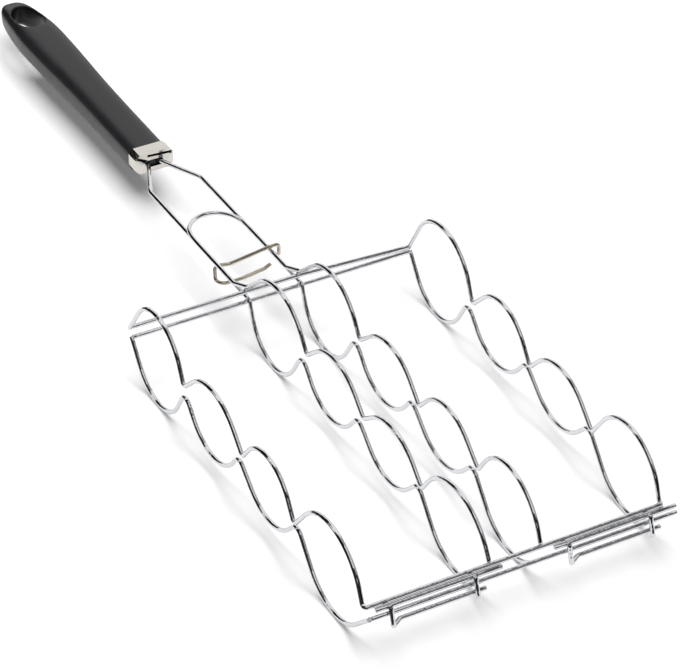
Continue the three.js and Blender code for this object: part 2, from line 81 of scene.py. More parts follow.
# The loop's bend, as one round sweep
LOOP_WIRE = "lid_centre_wire"
BEND_STEP = 0.5 * MM
BEND_PASSES = 300
BEND_SKIP = 4
BEND_REACH = 16.0 * MM

# Welds, where two wires of a body cross
WELD_REACH = 0.75 * MM
WELD_RADIUS = 1.35 * MM
WELD_HEIGHT_SHARE = 0.62
WELD_SPREAD = 6.0 * MM
WELD_SUBDIVISIONS = 3
SAME_WAY = 0.9
PARALLEL = 1e-18

# Grip: stations from the ferrule to the end, as shares of its length, width and depth
GRIP_RINGS = 160
GRIP_SIDES = 112
GRIP_VOXEL = 0.55 * MM
GRIP_SMOOTHING = 6
GRIP_SMOOTHING_SHARE = 0.5
STATION_SHARES = [0, 0.13, 0.31, 0.46, 0.65, 0.755, 0.84, 0.905, 0.95, 0.98, 1]
WIDTH_SHARES = [0.86, 0.85, 0.85, 0.9, 0.99, 1, 0.9, 0.78, 0.67, 0.47, 0.17]
TOP_SHARES = [0, 0, 0, 0, 0, 0, 0.035, 0.1, 0.175, 0.27, 0.39]
BOTTOM_SHARES = [0.75, 0.79, 0.83, 0.87, 0.905, 0.94, 1, 0.985, 0.915, 0.79, 0.615]
UNDERSIDE_SHARES = [0.98, 0.98, 0.97, 0.96, 0.94, 0.92, 0.9, 0.9, 0.9, 0.9, 0.9]
GRIP_WIDTH = 28.0 * MM
GRIP_DEPTH = 21.9 * MM
TOP_POWER = 0.55
UNDERSIDE_POWER = 0.62
END_SQUEEZE = 0.2 * MM
END_CROWDING = 1.7
STATION_EASE = 0.12

# The grip's spigot in the ferrule, and the wires' sockets in the grip
FERRULE_GAP = 0.3 * MM
SPIGOT_LENGTH = 8.0 * MM
SPIGOT_INSET = 1.3 * MM
SOCKET_LENGTH = 60.0 * MM
SOCKET_SLACK = 1.2 * MM
SOCKET_RADIUS = 1.8 * MM

# Hanging hole, and how far in mm it opens out backward, forward and across, at shares of the
# grip's depth there
HOLE_LENGTH = 29.6 * MM
HOLE_WIDTH = 18.4 * MM
HOLE_ASIDE = 0.5 * MM
HOLE_SQUARENESS = 0.75
HOLE_RIM = 14.0 * MM
HOLE_FLARE_SHARES = [
    (-0.12, 2.0, 2.6, 1.2),
    (-0.02, 0.6, 1.2, 0.4),
    (0.03, 0.1, 0.7, 0.1),
    (0.08, 0.0, 0.4, 0.0),
    (0.45, 0.0, 0.0, 0.0),
    (0.70, 0.4, 0.0, 0.0),
    (0.85, 2.8, 0.3, 0.0),
    (1.00, 6.0, 0.9, 0.2),
    (1.20, 9.5, 2.0, 0.8),
]

# Ferrule: softened edges, and the joins of its folded front, in mm across and up from its middle
FERRULE_EDGE = 0.42 * MM
FERRULE_EDGE_STEPS = 4
FLAT_ANGLE = math.radians(1)
EDGE_ANGLE = math.radians(20)
SHARP_ANGLE = math.radians(35)
JOIN_WIDTH = 1.7 * MM
JOIN_DEPTH = 2.4 * MM
FRONT_JOINS = [
    ((-4.6, 5.0), (11.4, 3.9)),
    ((10.7, 4.4), (10.7, 2.6)),
    ((-11.3, 4.7), (-5.2, 1.6)),
]

# The sky that metal mirrors: patches laid over white, each with its grey, its reach in azimuth
# and in elevation in degrees, its lean in azimuth with elevation, and the softness of its edge
SKY_PATCHES = [
    (0.008, (-184, -133), (-9, 47), 0.0, 2.5),
    (0.008, (171, 184), (34, 52), 0.0, 2.5),
    (0.008, (-122, -62), (-20, 80), 0.0, 2.5),
    (0.1, (40, 140), (70, 95), 0.0, 2.5),
    (0.02, (-64, -38), (-12, 34), 0.0, 2.5),
    (0.3, (-64, -33), (34, 62), 0.0, 3.0),
    (0.008, (-38, 38), (-12, 30), 0.0, 2.0),
    (0.008, (-36, 8), (28, 42), 0.0, 2.0),
    (0.5, (-38, -14), (14, 21), 0.0, 1.5),
    (0.5, (8, 30), (30, 52), 1.0, 2.0),
    (0.1, (38, 66), (-9, 46), 0.0, 3.0),
    (0.06, (33, 112), (44, 64), 0.0, 3.0),
]
SKY_WHITE = 0.92
SKY_FILL = 0.13
WHITE = (1, 1, 1, 1)

# The floor, with an oval round the basket: its middle, its half spans, the shares of them
# between which the floor brightens for the camera, and those between which metal sees it end
FLOOR_REACH = 4.0
FLOOR_WHITE = (0.96, 0.96, 0.965, 1)
FLOOR_GLOW = 0.12
FAR_FLOOR_GLOW = 1.0
FAR_FLOOR_MIRRORED = 0.03
OVAL_MIDDLE = Vector((0.05, 0.11, 0.0))
OVAL_SPANS = Vector((0.47, 0.275, 1.0))
BRIGHTENING_SHARES = (1.2, 2.6)
ENDING_SHARES = (0.94, 1.06)

LAMP_HEIGHT = 2.0
LAMP_LENGTH = 2.8
LAMP_WIDTH = 1.4
LAMP_POWER = 49.5


def new_object(name, data):
    piece = bpy.data.objects.new(name, data)
    bpy.context.scene.collection.objects.link(piece)
    return piece


def mesh_object(name, vertices, faces):
    mesh = bpy.data.meshes.new(name)
    mesh.from_pydata([tuple(v) for v in vertices], [], faces)
    mesh.validate()
    return new_object(name, mesh)


def baked(piece):
    """The piece's evaluated shape as a plain mesh, with no modifier left on it."""
    bpy.context.view_layer.update()
    evaluated = piece.evaluated_get(bpy.context.evaluated_depsgraph_get())
    mesh = bpy.data.meshes.new_from_object(evaluated)
    name = piece.name
    mesh.name = name
    bpy.data.objects.remove(piece)
    return new_object(name, mesh)


def made_by(tree, piece, values):
    """The piece as geometry nodes make it from named values, as a plain mesh."""
    modifier = piece.modifiers.new(tree.name, "NODES")
    modifier.node_group = tree
    for item in tree.interface.items_tree:
        if item.name in values:
            modifier[item.identifier] = values[item.name]
    return baked(piece)


def smooth_faces(piece):
    for face in piece.data.polygons:
        face.use_smooth = True


def fit_out(piece, node, material):
    """Makes the piece stand for a node: it rides on the node's body, in the slot's finish."""
    piece.data.materials.clear()
    piece.data.materials.append(material)
    for face in piece.data.polygons:
        face.material_index = 0
    smooth_faces(piece)
    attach(piece, BODY_OF[node])
    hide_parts(node)


# Node trees


def feed(tree, node, sources):
    """Links each named input of a node to a socket, or sets it to a value."""
    for label, source in sources.items():
        if isinstance(source, bpy.types.NodeSocket):
            tree.links.new(source, node.inputs[label])
        else:
            node.inputs[label].default_value = source


def add_node(tree, kind, sources=None, **settings):
    node = tree.nodes.new(kind)
    for name, value in settings.items():
        setattr(node, name, value)
    feed(tree, node, sources or {})
    return node


def maths(tree, operation, *sources):
    return add_node(tree, "ShaderNodeMath", dict(enumerate(sources)), operation=operation).outputs[0]


def eased(tree, value, start, end, low=0.0, high=1.0):
    """A value that goes smoothly from low to high while the given one goes from start to end."""
    sources = {"Value": value, "From Min": start, "From Max": end, "To Min": low, "To Max": high}
    node = add_node(tree, "ShaderNodeMapRange", sources, interpolation_type="SMOOTHSTEP")
    return node.outputs["Result"]


class NodeGroup:
    """A node group under construction, with short calls for its nodes and outputs."""

    def __init__(self, kind, name, inputs, outputs):
        self.tree = bpy.data.node_groups.new(name, kind)
        for label, socket_kind, *values in inputs:
            socket = self.tree.interface.new_socket(label, in_out="INPUT", socket_type=socket_kind)
            for value in values:
                socket.default_value = value
        for label, socket_kind in outputs:
            self.tree.interface.new_socket(label, in_out="OUTPUT", socket_type=socket_kind)
        self.given = self.tree.nodes.new("NodeGroupInput").outputs
        self.made = self.tree.nodes.new("NodeGroupOutput").inputs

    def node(self, kind, sources=None, **settings):
        return add_node(self.tree, kind, sources, **settings)

    def output(self, label, source):
        self.tree.links.new(source, self.made[label])


# Finishes


def surface_drift_group():
    """Slow and fine variation over a surface: a colour between two, and a value between two."""
    group = NodeGroup(
        "ShaderNodeTree",
        "surface_drift",
        [
            ("Scale", "NodeSocketFloat", 120.0),
            ("Colour A", "NodeSocketColor", (0.8, 0.8, 0.8, 1)),
            ("Colour B", "NodeSocketColor", (0.9, 0.9, 0.9, 1)),
            ("Low", "NodeSocketFloat", 0.1),
            ("High", "NodeSocketFloat", 0.2),
        ],
        [("Colour", "NodeSocketColor"), ("Value", "NodeSocketFloat")],
    )
    given = group.given
    place = group.node("ShaderNodeTexCoord").outputs["Object"]
    fine_scale = maths(group.tree, "MULTIPLY", given["Scale"], FINE_TIMES)
    slow, fine = (
        group.node("ShaderNodeTexNoise", {"Vector": place, "Scale": scale, **noise}).outputs["Fac"]
        for scale, noise in ((given["Scale"], SLOW_NOISE), (fine_scale, FINE_NOISE))
    )
    tint = group.node(
        "ShaderNodeMix",
        {"Factor": slow, 6: given["Colour A"], 7: given["Colour B"]},
        data_type="RGBA",
    )
    value = group.node(
        "ShaderNodeMapRange",
        {
            "Value": maths(group.tree, "MULTIPLY", slow, fine),
            "From Min": DRIFT_RANGE[0],
            "From Max": DRIFT_RANGE[1],
            "To Min": given["Low"],
            "To Max": given["High"],
        },
    )
    group.output("Colour", tint.outputs[2])
    group.output("Value", value.outputs["Result"])
    return group.tree


def grain_group():
    """The height of a grain, drawn out along the basket's length by Stretch."""
    group = NodeGroup(
        "ShaderNodeTree",
        "fine_grain",
        [("Scale", "NodeSocketFloat", 1500.0), ("Stretch", "NodeSocketFloat", 1.0)],
        [("Height", "NodeSocketFloat")],
    )
    place = group.node("ShaderNodeTexCoord").outputs["Object"]
    drawn = group.node("ShaderNodeCombineXYZ", {"X": group.given["Stretch"], "Y": 1.0, "Z": 1.0})
    spread = group.node("ShaderNodeVectorMath", {0: place, 1: drawn.outputs[0]}, operation="MULTIPLY")
    noise = group.node(
        "ShaderNodeTexNoise",
        {"Vector": spread.outputs[0], "Scale": group.given["Scale"], **GRAIN_NOISE},
    )
    group.output("Height", noise.outputs["Fac"])
    return group.tree


DRIFT = surface_drift_group()
GRAIN = grain_group()


def relief(tree, scale, stretch, strength, distance, beneath=None):
    """The normal of a grainy surface, raised on the normal beneath it if there is one."""
    grain = add_node(tree, "ShaderNodeGroup", {"Scale": scale, "Stretch": stretch}, node_tree=GRAIN)
    sources = {"Strength": strength, "Distance": distance, "Height": grain.outputs["Height"]}
    if beneath:
        sources["Normal"] = beneath
    return add_node(tree, "ShaderNodeBump", sources).outputs["Normal"]


def finish_material(name, shine, colours, roughness, drift_scale, grain, waves=None):
    """A material whose colour and roughness drift over the surface, with a fine grain in relief.

    Shine holds the values that are even all over. Waves, if any, are a slow relief under the grain.
    """
    material = bpy.data.materials.new(name)
    material.use_nodes = True
    tree = material.node_tree
    shader = tree.nodes["Principled BSDF"]
    variation = {
        "Scale": drift_scale,
        "Colour A": (*colours[0], 1),
        "Colour B": (*colours[1], 1),
        "Low": roughness[0],
        "High": roughness[1],
    }
    drift = add_node(tree, "ShaderNodeGroup", variation, node_tree=DRIFT)
    beneath = relief(tree, **waves) if waves else None
    looks = {
        **shine,
        "Base Color": drift.outputs["Colour"],
        "Roughness": drift.outputs["Value"],
        "Normal": relief(tree, **grain, beneath=beneath),
    }
    feed(tree, shader, looks)
    return material


CHROME = finish_material(
    "chrome_plate",
    shine={"Metallic": 1.0},
    colours=((0.72, 0.725, 0.745), (0.80, 0.805, 0.825)),
    roughness=(0.03, 0.08),
    drift_scale=90.0,
    grain={"scale": 900.0, "stretch": 0.5, "strength": 0.05, "distance": 0.02 * MM},
    waves={"scale": 150.0, "stretch": 1.0, "strength": 1.0, "distance": 0.3 * MM},
)
NICKEL = finish_material(
    "satin_nickel",
    shine={"Metallic": 1.0},
    colours=((0.66, 0.63, 0.575), (0.78, 0.755, 0.70)),
    roughness=(0.14, 0.24),
    drift_scale=160.0,
    grain={"scale": 2600.0, "stretch": 0.12, "strength": 0.12, "distance": 0.02 * MM},
)
SPRING = finish_material(
    "tinted_spring_steel",
    shine={"Metallic": 1.0},
    colours=((0.50, 0.45, 0.365), (0.70, 0.65, 0.545)),
    roughness=(0.08, 0.18),
    drift_scale=140.0,
    grain={"scale": 1800.0, "stretch": 0.5, "strength": 0.08, "distance": 0.02 * MM},
)
BLACK = finish_material(
    "moulded_black",
    shine={"Metallic": 0.0, "Specular IOR Level": 0.34},
    colours=((0.012, 0.012, 0.0135), (0.019, 0.019, 0.021)),
    roughness=(0.28, 0.38),
    drift_scale=60.0,
    grain={"scale": 4200.0, "stretch": 1.0, "strength": 0.16, "distance": 0.03 * MM},
)


# Wires


def middle_of(corners):
    """The middle of a set of corners, summed in an order that is the same every time."""
    places = sorted((v.co for v in corners), key=tuple)
    return sum(places, Vector()) / len(places)


def wire_rings(node):
    """The rings of a CAD wire from one end to the other: each one's centre, way and radius."""
    solid = bmesh.new()
    solid.from_mesh(frame["nodes"][node].data)
    bmesh.ops.remove_doubles(solid, verts=solid.verts, dist=SAME_PLACE)
    bmesh.ops.recalc_face_normals(solid, faces=solid.faces)
    ring = end_ring(solid)
    seen = set()
    rings = []
    while ring:
        rings.append(ring)
        seen |= ring
        ring = {edge.other_vert(v) for v in ring for edge in v.link_edges} - seen
    centres = [middle_of(ring) for ring in rings]
    result = []
    for i, ring in enumerate(rings):
        arms = sorted((v.co - centres[i] for v in ring), key=tuple)
        across = max(arms[1:], key=lambda arm: arm.cross(arms[0]).length)
        way = arms[0].cross(across).normalized()
        ahead = centres[min(i + 1, len(rings) - 1)] - centres[max(i - 1, 0)]
        if way.dot(ahead) < 0:
            way.negate()
        radius = arms[0].length * math.cos(math.pi / RING_SIDES)
        result.append((centres[i], way, radius))
    solid.free()
    return result


def end_ring(solid):
    """The corners of one of a wire's two flat ends: a small flat patch as wide as the wire."""
    for start in solid.faces:
        patch, queue = {start}, [start]
        while queue and len(patch) < RING_SIDES:
            for edge in queue.pop().edges:
                for other in edge.link_faces:
                    if other not in patch and other.normal.dot(start.normal) > SAME_PLANE:
                        patch.add(other)
                        queue.append(other)
        corners = {v for face in patch for v in face.verts}
        if len(patch) == RING_SIDES - 2 and len(corners) == RING_SIDES:
            middle = middle_of(corners)
            arms = [(v.co - middle).length for v in corners]
            if max(arms) - min(arms) < SAME_PLACE:
                return corners
    raise ValueError("a wire has no flat end")


def finished(group, geometry):
    """A geometry group's result, made real and in the finish that the group is given."""
    real = group.node("GeometryNodeRealizeInstances", {"Geometry": geometry})
    sources = {"Geometry": real.outputs["Geometry"], "Material": group.given["Finish"]}
    return group.node("GeometryNodeSetMaterial", sources).outputs["Geometry"]


def round_wire_group():
    """Geometry nodes that turn a centre line into round wire as thick as the line's radius."""
    group = NodeGroup(
        "GeometryNodeTree",
        "round_wire",
        [
            ("Centre line", "NodeSocketGeometry"),
            ("Sides", "NodeSocketInt"),
            ("Finish", "NodeSocketMaterial"),
        ],
        [("Wire", "NodeSocketGeometry")],
    )
    section = group.node(
        "GeometryNodeCurvePrimitiveCircle",
        {"Resolution": group.given["Sides"], "Radius": 1.0},
    )
    radius = group.node("GeometryNodeInputRadius")
    sweep = group.node(
        "GeometryNodeCurveToMesh",
        {
            "Curve": group.given["Centre line"],
            "Profile Curve": section.outputs["Curve"],
            "Scale": radius.outputs["Radius"],
            "Fill Caps": True,
        },
    )
    group.output("Wire", finished(group, sweep.outputs["Mesh"]))
    return group.tree


ROUND_WIRE = round_wire_group()


def centre_line(name, rings):
    """A curve through the rings, whose handles make each stretch between two rings a true arc.

    At both ends it narrows over a short way, which breaks the cut end's edge.
    """
    curve = bpy.data.curves.new(name, "CURVE")
    curve.dimensions = "3D"
    curve.resolution_u = STEPS_PER_STATION
    ends = []
    for (place, way, radius), side in ((rings[0], 1), (rings[-1], -1)):
        stations = [
            (place, way, radius - CUT_EDGE),
            (place + side * way * CUT_EDGE * CUT_EDGE_STEP, way, radius - CUT_EDGE * CUT_EDGE_STEP),
            (place + side * way * CUT_EDGE, way, radius),
        ]
        ends.append(stations[::side])
    stations = ends[0] + list(rings[1:-1]) + ends[1]
    spline = curve.splines.new("BEZIER")
    spline.bezier_points.add(len(stations) - 1)
    for i, (place, way, radius) in enumerate(stations):
        point = spline.bezier_points[i]
        point.co = place
        point.radius = radius
        point.handle_left_type = point.handle_right_type = "FREE"
        point.handle_left = place - way * handle_length(stations, i, -1)
        point.handle_right = place + way * handle_length(stations, i, 1)
    return new_object(name, curve)


def handle_length(stations, i, step):
    if not 0 <= i + step < len(stations):
        return 0.0
    (place, way, _), (other_place, other_way, _) = stations[i], stations[i + step]
    turn = way.angle(other_way)
    return (other_place - place).length / (3 * math.cos(turn / 4) ** 2)


def eased_bend(rings, from_x):
    """The rings with the bend that lies behind from_x drawn as one round sweep."""
    radius = rings[0][2]
    inside = [i for i, (place, _, _) in enumerate(rings) if place.x < from_x]
    first, last = inside[0], inside[-1]
    line = [rings[first - 1][0]]
    for place, _, _ in rings[first : last + 2]:
        run = place - line[-1]
        steps = max(1, round(run.length / BEND_STEP))
        start = line[-1].copy()
        line += [start + run * (k + 1) / steps for k in range(steps)]
    for _ in range(BEND_PASSES):
        inner = [(a + 2 * b + c) / 4 for a, b, c in zip(line, line[1:], line[2:])]
        line = line[:1] + inner + line[-1:]
    reach = min(place.x for place, _, _ in rings) - min(place.x for place in line)
    depth = from_x - min(place.x for place in line)
    sweep = []
    for a, b, c in list(zip(line, line[1:], line[2:]))[::BEND_SKIP]:
        share = max(0.0, (from_x - b.x) / depth)
        sweep.append((b + Vector((reach * share, 0, 0)), (c - a).normalized(), radius))
    return rings[: first - 1] + sweep + rings[last + 2 :]


def round_wire(node, material):
    """Draws fine round wire along the middle of a CAD wire, and gives back its rings."""
    rings = wire_rings(node)
    if node == LOOP_WIRE:
        rings = eased_bend(rings, min(place.x for place, _, _ in rings) + BEND_REACH)
    line = centre_line(f"{node}_round", rings)
    piece = made_by(ROUND_WIRE, line, {"Sides": WIRE_SIDES, "Finish": material})
    fit_out(piece, node, material)
    return rings


# Welds


def stretches(rings):
    for (start, _, _), (end, _, _) in zip(rings, rings[1:]):
        yield start, end, (end - start).normalized()


def crossings(lines, nodes):
    """Where wires of one body cross and touch: the two middle lines' nearest places."""
    found = []
    for i, node in enumerate(nodes):
        for other in nodes[i + 1 :]:
            reach = lines[node][0][2] + lines[other][0][2] + WELD_REACH
            for start, end, way in stretches(lines[node]):
                for other_start, other_end, other_way in stretches(lines[other]):
                    span = (end - start).length + (other_end - other_start).length
                    too_far = (start - other_start).length - span > reach
                    if too_far or abs(way.dot(other_way)) > SAME_WAY:
                        continue
                    near, far = closest_places(start, end, other_start, other_end)
                    if (far - near).length < reach:
                        found.append((near, far))
    found.sort(key=lambda pair: (pair[1] - pair[0]).length)
    kept = []
    for near, far in found:
        if all((near - other).length > WELD_SPREAD for other, _ in kept):
            kept.append((near, far))
    return kept


def closest_places(a, b, c, d):
    """The closest places of the stretches a-b and c-d."""
    run, other_run, offset = b - a, d - c, a - c
    rr, oo, ro = run.dot(run), other_run.dot(other_run), run.dot(other_run)
    spread = max(rr * oo - ro * ro, PARALLEL)
    along = (ro * other_run.dot(offset) - oo * run.dot(offset)) / spread
    along = min(max(along, 0.0), 1.0)
    other_along = min(max((along * ro + other_run.dot(offset)) / oo, 0.0), 1.0)
    along = min(max((other_along * ro - run.dot(offset)) / rr, 0.0), 1.0)
    return a + run * along, c + other_run * other_along


def weld_group():
    """Geometry nodes that set a weld bead on each point, turned to the point's way."""
    group = NodeGroup(
        "GeometryNodeTree",
        "weld_beads",
        [
            ("Places", "NodeSocketGeometry"),
            ("Bead radius", "NodeSocketFloat"),
            ("Bead height share", "NodeSocketFloat"),
            ("Finish", "NodeSocketMaterial"),
        ],
        [("Beads", "NodeSocketGeometry")],
    )
    given = group.given
    ball = group.node(
        "GeometryNodeMeshIcoSphere",
        {"Radius": given["Bead radius"], "Subdivisions": WELD_SUBDIVISIONS},
    )
    flat = group.node("ShaderNodeCombineXYZ", {"X": 1.0, "Y": 1.0, "Z": given["Bead height share"]})
    squeezed = group.node(
        "GeometryNodeTransform",
        {"Geometry": ball.outputs["Mesh"], "Scale": flat.outputs["Vector"]},
    )
    way = group.node("GeometryNodeInputNamedAttribute", {"Name": "way"}, data_type="FLOAT_VECTOR")
    turned = group.node(
        "FunctionNodeAlignRotationToVector",
        {"Vector": way.outputs["Attribute"]},
        axis="Z",
    )
    placed = group.node(
        "GeometryNodeInstanceOnPoints",
        {
            "Points": given["Places"],
            "Instance": squeezed.outputs["Geometry"],
            "Rotation": turned.outputs["Rotation"],
        },
    )
    group.output("Beads", finished(group, placed.outputs["Instances"]))
    return group.tree


WELD_BEADS = weld_group()


def weld_beads(body, lines, material):
    """The welds of one body's wires, as one piece."""
    places = crossings(lines, [node for node in lines if BODY_OF[node] == body])
    piece = mesh_object(f"welds_{body}", [(near + far) / 2 for near, far in places], [])
    ways = piece.data.attributes.new("way", "FLOAT_VECTOR", "POINT")
    for i, (near, far) in enumerate(places):
        ways.data[i].vector = (far - near).normalized()
    values = {
        "Bead radius": WELD_RADIUS,
        "Bead height share": WELD_HEIGHT_SHARE,
        "Finish": material,
    }
    piece = made_by(WELD_BEADS, piece, values)
    smooth_faces(piece)
    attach(piece, body)


# Grip


def curve_through(stations, shares, place):
    """A smooth value between stations that doesn't swing past its neighbours."""
    i = next((k for k in range(1, len(stations)) if place <= stations[k]), len(stations) - 1)
    slopes = [(b - a) / (t - s) for s, t, a, b in zip(stations, stations[1:], shares, shares[1:])]

    def slope_at(k):
        if k in (0, len(stations) - 1):
            return slopes[min(k, len(slopes) - 1)]
        before, after = slopes[k - 1], slopes[k]
        if before * after <= 0:
            return 0.0
        return 2 * before * after / (before + after)

    start, end = stations[i - 1], stations[i]
    run = end - start
    t = (place - start) / run
    return (
        (1 + 2 * t) * (1 - t) ** 2 * shares[i - 1]
        + t * (1 - t) ** 2 * run * slope_at(i - 1)
        + t * t * (3 - 2 * t) * shares[i]
        + t * t * (t - 1) * run * slope_at(i)
    )


def turns(sides, first=0.0):
    return [(i + first) * 2 * math.pi / sides for i in range(sides)]


def squared(value, power):
    return math.copysign(abs(value) ** power, value)


def rounded_ring(x, half_width, top, bottom, underside, middle):
    """One section of the grip: a rounded box that narrows to the underside's share."""
    ring = []
    for turn in turns(GRIP_SIDES, 0.5):
        power = TOP_POWER if math.sin(turn) > 0 else UNDERSIDE_POWER
        across, up = squared(math.cos(turn), power), squared(math.sin(turn), power)
        level = (1 + up) / 2
        narrowing = underside + (1 - underside) * level
        y = middle + half_width * narrowing * across
        ring.append(Vector((x, y, bottom + (top - bottom) * level)))
    return ring


def skin(name, rings):
    """A closed skin over rings of equally many corners."""
    sides = len(rings[0])
    last = (len(rings) - 1) * sides
    faces = []
    for start in range(0, last, sides):
        for i in range(sides):
            a, b = start + i, start + (i + 1) % sides
            faces.append((a, a + sides, b + sides, b))
    faces.append(tuple(range(sides)))
    faces.append(tuple(last + i for i in reversed(range(sides))))
    piece = mesh_object(name, [v for ring in rings for v in ring], faces)
    solid = bmesh.new()
    solid.from_mesh(piece.data)
    bmesh.ops.recalc_face_normals(solid, faces=solid.faces)
    solid.to_mesh(piece.data)
    solid.free()
    return piece


def cut_away(piece, cutter):
    modifier = piece.modifiers.new("cut", "BOOLEAN")
    modifier.operation = "DIFFERENCE"
    modifier.solver = "EXACT"
    modifier.object = cutter
    piece = baked(piece)
    bpy.data.objects.remove(cutter)
    return piece


def tube(name, start, end, radius):
    way = (end - start).normalized()
    side = way.orthogonal().normalized()
    up = way.cross(side)
    arms = [radius * (math.cos(turn) * side + math.sin(turn) * up) for turn in turns(WIRE_SIDES)]
    return skin(name, [[place + arm for arm in arms] for place in (start, end)])


def grip_section(place):
    """The grip at a share of its length.

    Half its width, its top and bottom under the highest place, and its underside's share.
    """
    ease = STATION_EASE * (1 - place)
    near = [min(max(place + step * ease, 0.0), 1.0) for step in (-1, 0, 1)]
    width, down, deep, underside = (
        sum(curve_through(STATION_SHARES, table, spot) for spot in near) / len(near)
        for table in (WIDTH_SHARES, TOP_SHARES, BOTTOM_SHARES, UNDERSIDE_SHARES)
    )
    return width * GRIP_WIDTH / 2, down * GRIP_DEPTH, deep * GRIP_DEPTH, underside


def grip_skin(front, length, middle, top):
    """The grip's outer skin, with the spigot that fills the ferrule."""
    low, high = (Vector(corner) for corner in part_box("ferrule"))
    spigot = (
        (high.y - low.y) / 2 - SPIGOT_INSET,
        high.z - SPIGOT_INSET,
        low.z + SPIGOT_INSET,
    )
    rings = [rounded_ring(x, *spigot, 1.0, middle) for x in (front + SPIGOT_LENGTH, front)]
    for i in range(GRIP_RINGS):
        place = 1 - (1 - i / (GRIP_RINGS - 1)) ** END_CROWDING
        x = front - place * length
        half_width, down, deep, underside = grip_section(place)
        rings.append(rounded_ring(x, half_width, top - down, top - deep, underside, middle))
    return skin("grip_moulding", rings)


def hanging_hole(front, length, middle, top, hole_middle):
    """What the hanging hole takes away: an oblong, squarer in front, that flares at both faces."""
    rings = []
    for share, back, forward, across in HOLE_FLARE_SHARES:
        ring = []
        for turn in turns(GRIP_SIDES):
            ahead, aside = math.cos(turn), math.sin(turn)
            along = back
            if ahead > 0:
                ahead, aside = squared(ahead, HOLE_SQUARENESS), squared(aside, HOLE_SQUARENESS)
                along = forward
            x = hole_middle + (HOLE_LENGTH / 2 + along * MM) * ahead
            y = middle + HOLE_ASIDE + (HOLE_WIDTH / 2 + across * MM) * aside
            _, down, deep, _ = grip_section(min((front - x) / length, 1.0))
            ring.append(Vector((x, y, top - down - share * (deep - down))))
        rings.append(ring)
    return skin("hanging_hole", rings)


def moulded_grip(lines, material):
    """The grip as one moulding: its skin and spigot, the hanging hole and the wires' sockets."""
    low, high = (Vector(corner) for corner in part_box("grip"))
    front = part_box("ferrule")[0][0] - FERRULE_GAP
    length = front - (low.x + END_SQUEEZE)
    middle = (low.y + high.y) / 2
    top = high.z - END_SQUEEZE
    piece = grip_skin(front, length, middle, top)
    hole_middle = low.x + HOLE_RIM + HOLE_LENGTH / 2
    piece = cut_away(piece, hanging_hole(front, length, middle, top, hole_middle))
    for node in ("handle_wire_left", "handle_wire_right"):
        wire_end = min((lines[node][0][0], lines[node][-1][0]), key=lambda place: place.x)
        start = wire_end - Vector((SOCKET_SLACK, 0, 0))
        end = wire_end + Vector((SOCKET_LENGTH, 0, 0))
        piece = cut_away(piece, tube("socket", start, end, SOCKET_RADIUS))
    remesh = piece.modifiers.new("remesh", "REMESH")
    remesh.mode = "VOXEL"
    remesh.voxel_size = GRIP_VOXEL
    smooth = piece.modifiers.new("smooth", "SMOOTH")
    smooth.factor = GRIP_SMOOTHING_SHARE
    smooth.iterations = GRIP_SMOOTHING
    fit_out(baked(piece), "grip", material)


# Ferrule


def merged_copy(node, name):
    """A copy of a CAD node's mesh, with each flat face in one."""
    mesh = frame["nodes"][node].data.copy()
    mesh.name = name
    solid = bmesh.new()
    solid.from_mesh(mesh)
    bmesh.ops.remove_doubles(solid, verts=solid.verts, dist=SAME_PLACE)
    bmesh.ops.dissolve_limit(solid, angle_limit=FLAT_ANGLE, verts=solid.verts, edges=solid.edges)
    solid.to_mesh(mesh)
    solid.free()
    return new_object(name, mesh)


def drawn_ferrule(material):
    """The ferrule with softened edges, and the joins of the sheet folded over its front."""
    low, high = (Vector(corner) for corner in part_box("ferrule"))
    middle = (low + high) / 2
    piece = merged_copy("ferrule", "ferrule_cap")
    bevel = piece.modifiers.new("soft_edges", "BEVEL")
    bevel.width = FERRULE_EDGE
    bevel.segments = FERRULE_EDGE_STEPS
    bevel.limit_method = "ANGLE"
    bevel.angle_limit = EDGE_ANGLE
    piece = baked(piece)
    for ends in FRONT_JOINS:
        start, end = (Vector((0, middle.y + y * MM, middle.z + z * MM)) for y, z in ends)
        aside = (end - start).cross(Vector((1, 0, 0))).normalized() * JOIN_WIDTH / 2
        corners = [start - aside, start + aside, end + aside, end - aside]
        reach = (high.x - JOIN_DEPTH, high.x + JOIN_DEPTH)
        rings = [[corner + Vector((x, 0, 0)) for corner in corners] for x in reach]
        piece = cut_away(piece, skin("join", rings))
    fit_out(piece, "ferrule", material)
    piece.data.set_sharp_from_angle(angle=SHARP_ANGLE)


# The scene's stage


def place_camera():
    data = bpy.data.cameras.new("camera")
    data.sensor_width = SENSOR_WIDTH
    data.lens = FOCAL_PIXELS * SENSOR_WIDTH / PHOTO_WIDTH
    data.clip_end = CAMERA_REACH
    camera = new_object("camera", data)
    up = -CAMERA_DOWN
    back = CAMERA_RIGHT.cross(up)
    turn = Matrix((CAMERA_RIGHT, up, back)).transposed().to_4x4()
    camera.matrix_world = Matrix.Translation(CAMERA_PLACE) @ turn
    bpy.context.scene.camera = camera


def soft_lamp():
    """One large soft box straight overhead, seen neither by the camera nor by metal."""
    data = bpy.data.lights.new("soft_box", "AREA")
    data.shape = "RECTANGLE"
    data.size = LAMP_LENGTH
    data.size_y = LAMP_WIDTH
    data.energy = LAMP_POWER
    lamp = new_object("soft_box", data)
    lamp.matrix_world = Matrix.Translation((0, 0, LAMP_HEIGHT))
    lamp.visible_glossy = False
    lamp.visible_camera = False


